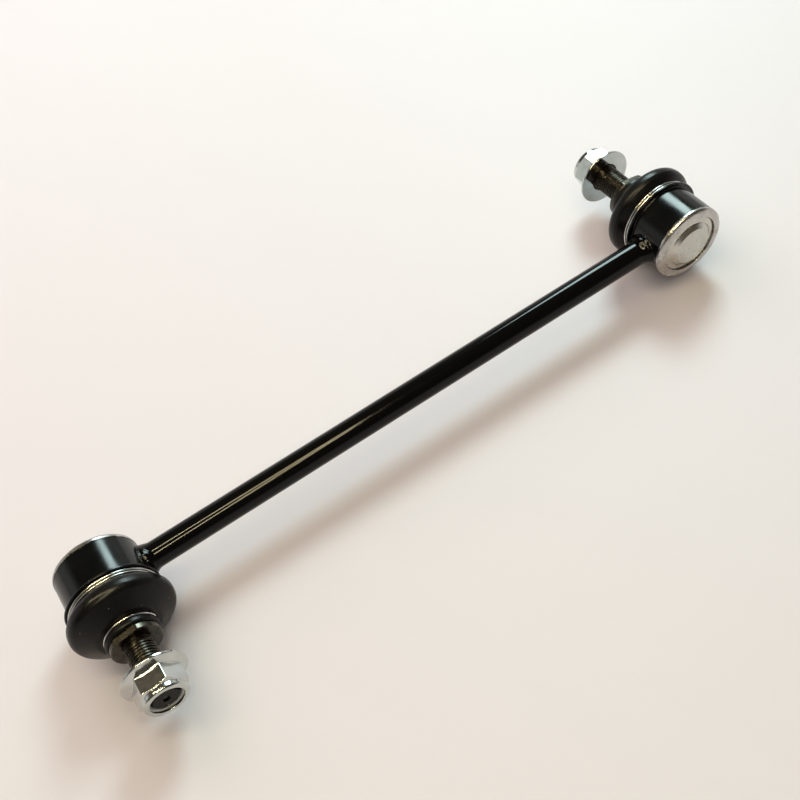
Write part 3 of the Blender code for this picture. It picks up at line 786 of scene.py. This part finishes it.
# %% [markdown]
# The thread is M12 x 1.25: 60 degree flanks, a narrow flat crest and a rounded root. Sampling a
# hard-edged ridge on rows that cross it would leave jagged crests, so the ridge is a smooth curve
# with the same height and flanks.

# %% Thread and stud
PITCH = 1.25
ROWS_A_TURN = 18
THREAD_RADIUS = 5.95
THREAD_DEPTH = 0.72
THREAD_START = 29.6
THREAD_RUN_IN = 0.75
CREST_WIDENING = 1.25
RELIEF_RADIUS = 5.2
SHANK_END = 53.4
TIP_CHAMFER = 0.9
TIP_RADIUS = 3.6
COLLAR_EDGE = 9.4


def thread_ridge(turns):
    """Ridge height 0..1 for a number of turns past a crest: a cosine pushed towards a trapezoid."""
    wave = np.cos(2 * pi * turns)
    return 0.5 + 0.5 * np.sin(pi / 2 * np.clip(CREST_WIDENING * wave, -1, 1))


def stud_profile():
    """Rows of (radius, height) from the stud's foot on the ball to its tip."""
    foot = ball_arc(SOCKET, 90, 57.6, 8)
    lower = rounded([(4.99, 7.84), (5.0, 14.0, 3.0), (8.2, 20.7, 0.8), (8.2, COLLAR_BACK),
                     (COLLAR_RADIUS, COLLAR_BACK, 0.3), (COLLAR_RADIUS, COLLAR_FACE - 0.45, 0.12),
                     (9.75, COLLAR_FACE, 0.12), (6.4, COLLAR_FACE, 0.15)])
    relief = rounded([(6.4, COLLAR_FACE), (RELIEF_RADIUS, COLLAR_FACE - 0.2, 0.1),
                      (RELIEF_RADIUS, THREAD_START, 0.1)])[1:]
    count = int((SHANK_END - THREAD_START) / PITCH * ROWS_A_TURN)
    heights = np.linspace(THREAD_START, SHANK_END, count)
    thread = np.stack([np.full(count, THREAD_RADIUS), heights], -1)[:, None]
    tip = np.array([(TIP_RADIUS, SHANK_END), (1.7, SHANK_END), (1.5, SHANK_END - 0.15),
                    (0, 50.8)])[:, None]
    return np.concatenate([foot, lower, relief, thread, tip])


def stud_grid():
    """Points of the stud: profile, then the collar's flats, then the thread's ridge.

    Off the collar's rim the columns keep the spread of its full radius. The foot and the bottom of
    the mark in the tip's centre are poles.
    """
    radius, height = np.moveaxis(stud_profile()[:, 0], -1, 0)
    on_collar = (height > COLLAR_BACK - 0.01) & (height < COLLAR_FACE + 0.01)
    spread_radius = np.where(on_collar & (radius > COLLAR_EDGE), radius, COLLAR_RADIUS)
    offsets = np.stack([flat_angles(r) for r in spread_radius])
    radii = np.repeat(radius[:, None], offsets.shape[1], 1)
    flat = FLAT_DISTANCE / np.maximum(np.abs(np.cos(offsets)), 1e-6)
    radii[on_collar] = np.minimum(radii[on_collar], flat[on_collar])
    angles = offsets + FLAT_NORMAL
    ridge = thread_ridge(height[:, None] / PITCH - angles / (2 * pi))
    threaded = (height >= THREAD_START) & (radius > TIP_RADIUS)
    rise = np.clip((height - THREAD_START) / THREAD_RUN_IN, 0, 1)[:, None]
    rise = rise * THREAD_RUN_IN + RELIEF_RADIUS
    chamfer = THREAD_RADIUS + (SHANK_END - TIP_CHAMFER - height[:, None])
    cut = np.minimum(np.minimum(THREAD_RADIUS - THREAD_DEPTH * (1 - ridge), chamfer), rise)
    radii[threaded] = cut[threaded]
    return round_points(radii, angles, height[:, None])


stud_points = stud_grid()
for end in SIDES:
    pin = new_piece("threaded_stud_" + end, in_link(stud_points, end), False, stud_phosphate)
    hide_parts("stud_" + end)
    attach(pin, "stud_body_" + end)

# %% [markdown]
# ## Dust boots
#
# The boot keeps dirt out and grease in. It is a thin moulded shell with one round fold, clamped in
# the housing's groove by a wire ring and held at the stud's neck by another. It is modelled as a
# real shell, outside and inside in one closed profile. A few shallow grooves from the mould run
# round it low on the fold. They are a wave in the outline itself, because they catch the light.

# %% Boot profile
BOOT_BOTTOM = 6.6
BOOT_SPACING = 0.14
outer_corners = [
    (17.2, BOOT_BOTTOM, 0.1), (17.2, 9.0, 0.1), (18.2, 9.0, 0.4), (21.2, 11.8, 3.4),
    (21.2, 16.2, 4.2), (12.9, 21.3, 2.0), (10.7, 21.6, 0.3), (9.7, 21.6, 0.1),
    (9.7, 22.9, 0.1), (10.95, 22.9, 0.9), (10.95, 25.5, 0.9), (8.5, 25.5, 0.1),
]
inner_corners = [
    (8.5, 20.4, 0.8), (12.4, 20.1, 1.5), (20.0, 15.7, 3.2), (20.0, 12.3, 2.4),
    (17.2, 9.5, 0.4), (16.3, 8.5, 0.3), (16.3, BOOT_BOTTOM, 0.1),
]


def arc_lengths(line):
    """Distance along a line from its first point to each of its points."""
    steps = np.linalg.norm(np.diff(line, axis=0), axis=1)
    return np.concatenate([[0], np.cumsum(steps)])


def resampled(line, spacing):
    """Line with points about a spacing apart, placed evenly by arc length."""
    length = arc_lengths(line)
    marks = np.linspace(0, length[-1], int(length[-1] / spacing) + 2)
    return np.stack([np.interp(marks, length, part) for part in line.T], -1)


def with_grooves(line, first, last, pitch, depth):
    """Line with shallow grooves between two arc lengths: shifted inwards by a wave.

    The wave is depth * (1 - cos(2 pi s / pitch)) / 2, and fades in and out over one pitch.
    """
    step = np.gradient(line, axis=0)
    normal = np.stack([step[:, 1], -step[:, 0]], -1) / np.linalg.norm(step, axis=1)[:, None]
    length = arc_lengths(line)
    fade = np.clip((length - first) / pitch, 0, 1) * np.clip((last - length) / pitch, 0, 1)
    wave = depth * fade * (1 - np.cos(2 * pi * (length - first) / pitch)) / 2
    return line - normal * wave[:, None]


even_line = resampled(rounded(outer_corners, FINE_ARC_STEPS)[:, 0], BOOT_SPACING)
outer_line = with_grooves(even_line, first=5.2, last=8.0, pitch=1.15, depth=0.10)
inner_line = rounded(inner_corners, FINE_ARC_STEPS)[:, 0]
print("boot outline points:", len(outer_line), len(inner_line))

# %% [markdown]
# On the real link the boot bends: its base stays with the housing while its neck follows the stud,
# which leans about two axes, one body after the other. Here the shell is made in two halves that
# meet on the fold, and both are baked in place without a body. They share the ring where they meet,
# and their rows are so fine that no line shows there.

# %% Boot halves
BOOT_SPLIT = 14.2
BOOT_ROUND = 160


def split_line(line, level):
    """Parts of a line on either side of a level, which share an interpolated point on it."""
    index = int(np.argmax((line[:-1, 1] - level) * (line[1:, 1] - level) <= 0))
    share = (level - line[index, 1]) / (line[index + 1, 1] - line[index, 1])
    crossing = line[index] + share * (line[index + 1] - line[index])
    return np.vstack([line[:index + 1], crossing]), np.vstack([crossing, line[index + 1:]])


outer_low, outer_high = split_line(outer_line, BOOT_SPLIT)
inner_high, inner_low = split_line(inner_line, BOOT_SPLIT)
low_profile = np.vstack([outer_low, inner_low])[:, None]
high_profile = np.vstack([outer_high, inner_high])[:, None]
for end in SIDES:
    low = turned_piece("boot_fold_base", end, low_profile, around(BOOT_ROUND), boot_rubber)
    high = turned_piece("boot_fold_neck", end, high_profile, around(BOOT_ROUND), boot_rubber)
    for half in (low, high):
        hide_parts("dust_boot_" + end)
    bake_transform(low)
    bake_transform(high)

# %% [markdown]
# ## Wire rings
#
# The ring at the boot's base is one length of spring wire wound almost twice round it, the one at
# the neck goes round once and leaves a small gap. Each is a round section carried along a path. On a
# ring round the axis the two directions across the wire are known: outwards and along the axis.

# %% Wire rings
WIRE_RADIUS = 0.42
WIRE_SIDES = 16
END_STEPS = 6


def wire_piece(name, end, turns, radius, heights):
    """Round wire along (radius, direction, height), with rounded ends.

    Each section is centre + w (cos t * outwards + sin t * axis), where w falls to zero past both
    ends as sqrt(1 - s^2).
    """
    section = around(WIRE_SIDES)
    ease = np.sin(np.linspace(0, pi / 2, END_STEPS))[:-1]
    full = np.ones(len(turns) - 2 * len(ease))
    width = np.concatenate([ease, full, ease[::-1]])[:, None] * WIRE_RADIUS
    grid = round_points(radius + width * np.cos(section), turns[:, None],
                        heights[:, None] + width * np.sin(section))
    return new_piece(name + "_" + end, in_link(grid, end), False, ring_wire)


def stations(first, last, radius, count):
    """Directions along a ring, close together over one wire radius at both ends."""
    step = WIRE_RADIUS / radius
    ease = step * (1 - np.cos(np.linspace(0, pi / 2, END_STEPS)))[:-1]
    between = np.linspace(first + step, last - step, count - 2 * len(ease))
    return np.concatenate([first + ease, between, (last - ease)[::-1]])


BASE_RING_RADIUS = 18.0
BASE_RING_LEVEL = 7.02
BASE_RING_STEP = 1.26
RING_START = radians(110)
RING_CROSSING = radians(40)
base_turns = stations(RING_START, RING_START + 4 * pi - RING_CROSSING, BASE_RING_RADIUS, 330)
crossing = np.clip((base_turns - RING_START - 2 * pi + RING_CROSSING) / RING_CROSSING, 0, 1)
base_heights = BASE_RING_LEVEL + BASE_RING_STEP * crossing ** 2 * (3 - 2 * crossing)
NECK_RING_RADIUS = 10.5
NECK_RING_LEVEL = 22.25
neck_turns = stations(radians(186), radians(534), NECK_RING_RADIUS, 170)
neck_heights = np.full(len(neck_turns), NECK_RING_LEVEL)
for end in SIDES:
    clamp = wire_piece("base_wire", end, base_turns, BASE_RING_RADIUS, base_heights)
    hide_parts("base_ring_" + end)
    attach(clamp, "root")
    clip = wire_piece("neck_wire", end, neck_turns, NECK_RING_RADIUS, neck_heights)
    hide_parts("neck_ring_" + end)
    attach(clip, "neck_body_" + end)

# %% [markdown]
# ## Flange nuts
#
# The nut is forged: a hexagon grows out of a thin cone-shaped flange, and a round boss on top is
# rolled in over the locking ring. Round the axis the hexagon's surface is at 9 / cos(angle from the
# flat). Near a corner that formula changes to a small arc, and the columns crowd there.

# %% Hexagon columns
HEX_FLAT = 9.0
HEX_NORMAL = radians(-85)
CORNER_ROUND = 0.4
CORNER_COLUMNS = 7
INNER_COLUMNS = 20
NEAR_CORNER = 0.004
OFF_CORNER = 0.03


def hexagon_ring():
    """Directions and radii of a hexagon with rounded corners, 29 columns to each side.

    With d = (flat - q) / cos 30 and an angle e from the corner, the corner's arc is at
    d cos e + sqrt(q^2 - d^2 sin^2 e).
    """
    d = (HEX_FLAT - CORNER_ROUND) / cos(pi / 6)
    reach = np.arctan2(CORNER_ROUND / 2, d + CORNER_ROUND * cos(pi / 6))
    corner = np.linspace(-reach, reach, CORNER_COLUMNS)
    inner = np.linspace(reach + OFF_CORNER, pi / 3 - reach - OFF_CORNER, INNER_COLUMNS)
    flat = np.concatenate([[reach + NEAR_CORNER], inner, [pi / 3 - reach - NEAR_CORNER]])
    on_corner = d * np.cos(corner) + np.sqrt(CORNER_ROUND ** 2 - (d * np.sin(corner)) ** 2)
    on_flat = HEX_FLAT / np.cos(flat - pi / 6)
    side = np.concatenate([corner, flat])
    angles = np.concatenate([side + pi / 3 * k for k in range(6)]) + HEX_NORMAL - pi / 6
    return angles, np.tile(np.concatenate([on_corner, on_flat]), 6)


hex_angles, hex_radii = hexagon_ring()
print("columns on a nut:", len(hex_angles))

# %% [markdown]
# The chamfer on top of the hexagon is a cone. Where it meets the flats it draws the curved edges a
# real nut has, because its height depends on the same radius. The bore has the thread's grooves, in
# step with the ridges on the stud.

# %% Flange nuts and locking rings
NUT_FACES = {"a": 42.3, "b": 43.9}
NUT_FLANGE = 13.0
NUT_FLANGE_EDGE = 1.0
CONE_RISE = 1.6
CONE_RUN = 4.2
CHAMFER_LEVEL = 9.8
CHAMFER_RADIUS = 8.7
BOSS_RADIUS = 8.8
BOSS_TOP = 12.1
BORE_RADIUS = 6.25
BORE_GROOVE = 0.35
BORE_ROWS = 100


def nut_profile(angles, hexagon, face):
    """Closed profile of a nut on its face's height, with the hexagon's radius for each column."""
    cone = NUT_FLANGE_EDGE + (NUT_FLANGE - hexagon) * CONE_RISE / CONE_RUN
    chamfer = CHAMFER_LEVEL - (hexagon - CHAMFER_RADIUS) * tan(pi / 6)
    outer = rounded([(6.85, 0.0, 0.1), (NUT_FLANGE, 0.0, 0.25), (NUT_FLANGE, NUT_FLANGE_EDGE, 0.4),
                     (hexagon, cone, 0.35), (hexagon, chamfer, 0.2), (BOSS_RADIUS, 9.74, 0.3),
                     (BOSS_RADIUS, BOSS_TOP, 1.0), (6.7, BOSS_TOP, 0.35), (6.7, 11.3),
                     (7.85, 11.3), (7.85, 8.7), (BORE_RADIUS, 8.7)])
    heights = np.linspace(8.6, 0.6, BORE_ROWS)
    turns = (heights[:, None] + face) / PITCH - angles / (2 * pi)
    groove = BORE_RADIUS + BORE_GROOVE * (1 - thread_ridge(turns + 0.5))
    bore = np.stack([groove, np.repeat(heights[:, None], len(angles), 1)], -1)
    return np.concatenate([outer, bore]) + np.array([0, face])


insert_section = rounded([(BORE_RADIUS, 9.0, 0.2), (7.55, 9.0, 0.1), (7.55, 11.0, 0.1),
                          (BORE_RADIUS, 11.0, 0.3)])
for end in SIDES:
    nut = turned_piece("locking_nut", end, nut_profile(hex_angles, hex_radii, NUT_FACES[end]),
                       hex_angles, nut_zinc)
    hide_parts("flange_nut_" + end)
    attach(nut, "nut_body_" + end)
    insert = turned_piece("locking_ring", end, insert_section + np.array([0, NUT_FACES[end]]),
                          around(SMALL_ROUND), insert_nylon)
    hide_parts("nut_insert_" + end)
    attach(insert, "insert_body_" + end)

# %% [markdown]
# ## Floor
#
# The link lies on a pale table: a plane two metres wide at the lowest point of the boots, which is
# read from a boot's own mesh.

# %% Floor
boot_mesh = bpy.data.objects["boot_fold_base_a"].data
boot_points = np.empty(len(boot_mesh.vertices) * 3)
boot_mesh.vertices.foreach_get("co", boot_points)
floor_level = float(boot_points[2::3].min())
floor_mesh = bpy.data.meshes.new("table_top")
floor_corners = [(x, y, floor_level) for x, y in ((-1, -1), (1, -1), (1, 1), (-1, 1))]
floor_mesh.from_pydata(floor_corners, [], [(0, 1, 2, 3)])
floor_mesh.materials.append(new_finish("pale_table", (0.86, 0.82, 0.825), 0.6)[0])
floor = into_scene("table_top", floor_mesh)
print("floor at", round(floor_level, 4))

# %% [markdown]
# ## Light
#
# A cool window stands behind the link and two long warm tubes hang overhead: gloss paint on a round
# bar shows the window as one soft band and the tubes as two fine lines. Each of these is a pair of
# lamps, one for matt surfaces and one for gloss, so that shadows and highlights can be set apart.
# What a pale room throws back is two more soft lamps, which gloss doesn't see. Gloss sees the room
# itself: brown and dark, with a pale low wall behind the link and a pale haze along the horizon.

# %% Lamps
SHINE_NEARER = 0.95


def area_lamp(name, start, end, width, radiance, colour, matt=True, gloss=True):
    """Rectangular lamp between two points, turned towards the link.

    Its power is pi x length x width x radiance, so the radiance is what a mirror would show. A
    shine hangs just before its matt twin, so that the twin doesn't hide it.
    """
    nearer = 1 if matt else SHINE_NEARER
    start, end = Vector(start) * nearer, Vector(end) * nearer
    along = (end - start).normalized()
    middle = (start + end) / 2
    back = (middle - along * middle.dot(along)).normalized()
    lamp = bpy.data.lights.new(name, "AREA")
    lamp.shape = "RECTANGLE"
    lamp.size, lamp.size_y = (end - start).length, width
    lamp.energy = pi * lamp.size * lamp.size_y * radiance
    lamp.color = colour
    holder = into_scene(name, lamp)
    axes = Matrix((along, back.cross(along), back)).transposed()
    holder.matrix_world = Matrix.Translation(middle) @ axes.to_4x4()
    holder.visible_diffuse, holder.visible_glossy = matt, gloss
    print(name, round(lamp.energy, 2), "W")


WINDOW_LIGHT = (0.76, 0.98, 0.98)
TUBE_LIGHT = (1.0, 0.86, 0.54)
ROOM_LIGHT = (1.0, 0.87, 0.89)
WINDOW = ((0.62, 0.98, 0.98), (0.98, 0.62, 0.98))
NEAR_TUBE = ((-0.70, -1.00, 1.1), (0.17, -0.29, 1.1))
FAR_TUBE = ((-0.95, 0.45, 1.1), (0.17, -0.13, 1.1))
BOUNCE = ((-0.55, 0.65, 0.6), (0.15, 0.65, 0.6))
CEILING = ((-1.5, 0.0, 1.5), (1.5, 0.0, 1.5))
area_lamp("window", *WINDOW, width=0.46, radiance=16.5, colour=WINDOW_LIGHT, gloss=False)
area_lamp("window_shine", *WINDOW, width=0.42, radiance=21, colour=WINDOW_LIGHT, matt=False)
for name, place in (("near_tube", NEAR_TUBE), ("far_tube", FAR_TUBE)):
    area_lamp(name, *place, width=0.05, radiance=10, colour=TUBE_LIGHT, gloss=False)
    area_lamp(name + "_shine", *place, width=0.04, radiance=70, colour=TUBE_LIGHT, matt=False)
area_lamp("bounce", *BOUNCE, width=0.7, radiance=1.6, colour=ROOM_LIGHT, gloss=False)
area_lamp("ceiling", *CEILING, width=3.0, radiance=0.40, colour=ROOM_LIGHT, gloss=False)

# %% World
DARK_ROOM = (0.090, 0.074, 0.058)
PALE_WALL = (0.66, 0.68, 0.64)
HAZE = (0.52, 0.50, 0.48)
world = bpy.data.worlds.new("studio")
world.use_nodes = True
sky = world.node_tree
_, far, up = parts(sky, add_node(sky, "ShaderNodeTexCoord").outputs["Generated"])
below = ranged(sky, up, 0.25, 0.55, 1, 0, smooth=True)
behind = ranged(sky, far, -0.05, 0.45, 0, 1, smooth=True)
room = two_colours(sky, maths(sky, "MULTIPLY", below, behind), DARK_ROOM, PALE_WALL)
horizon = ranged(sky, up, 0.10, 0.17, 1, 0, smooth=True)
sky.links.new(two_colours(sky, horizon, room, HAZE), sky.nodes["Background"].inputs["Color"])
bpy.context.scene.world = world
bpy.context.scene.view_settings.view_transform = "Standard"
print("world:", world.name, "with", len(sky.nodes), "nodes")

# %% [markdown]
# ## Camera
#
# The camera's place was worked out from the circles of the link in the picture: it looks down at
# about 52 degrees from a little under half a metre away.

# %% Camera
CAMERA_PLACE = (-0.099679, -0.250092, 0.350691)
RIGHT = Vector((0.82757768, -0.53835239, -0.15903422))
DOWN = Vector((-0.51788297, -0.62290216, -0.58633619))
FORWARD = Vector((0.21659273, 0.56759986, -0.79430346))
camera_data = bpy.data.cameras.new("view")
camera_data.lens = 48.53
camera_data.sensor_width = 36
camera = into_scene("view", camera_data)
turn = Matrix((RIGHT, -DOWN, -FORWARD)).transposed()
camera.matrix_world = Matrix.Translation(CAMERA_PLACE) @ turn.to_4x4()
bpy.context.scene.camera = camera
print("camera at", CAMERA_PLACE)
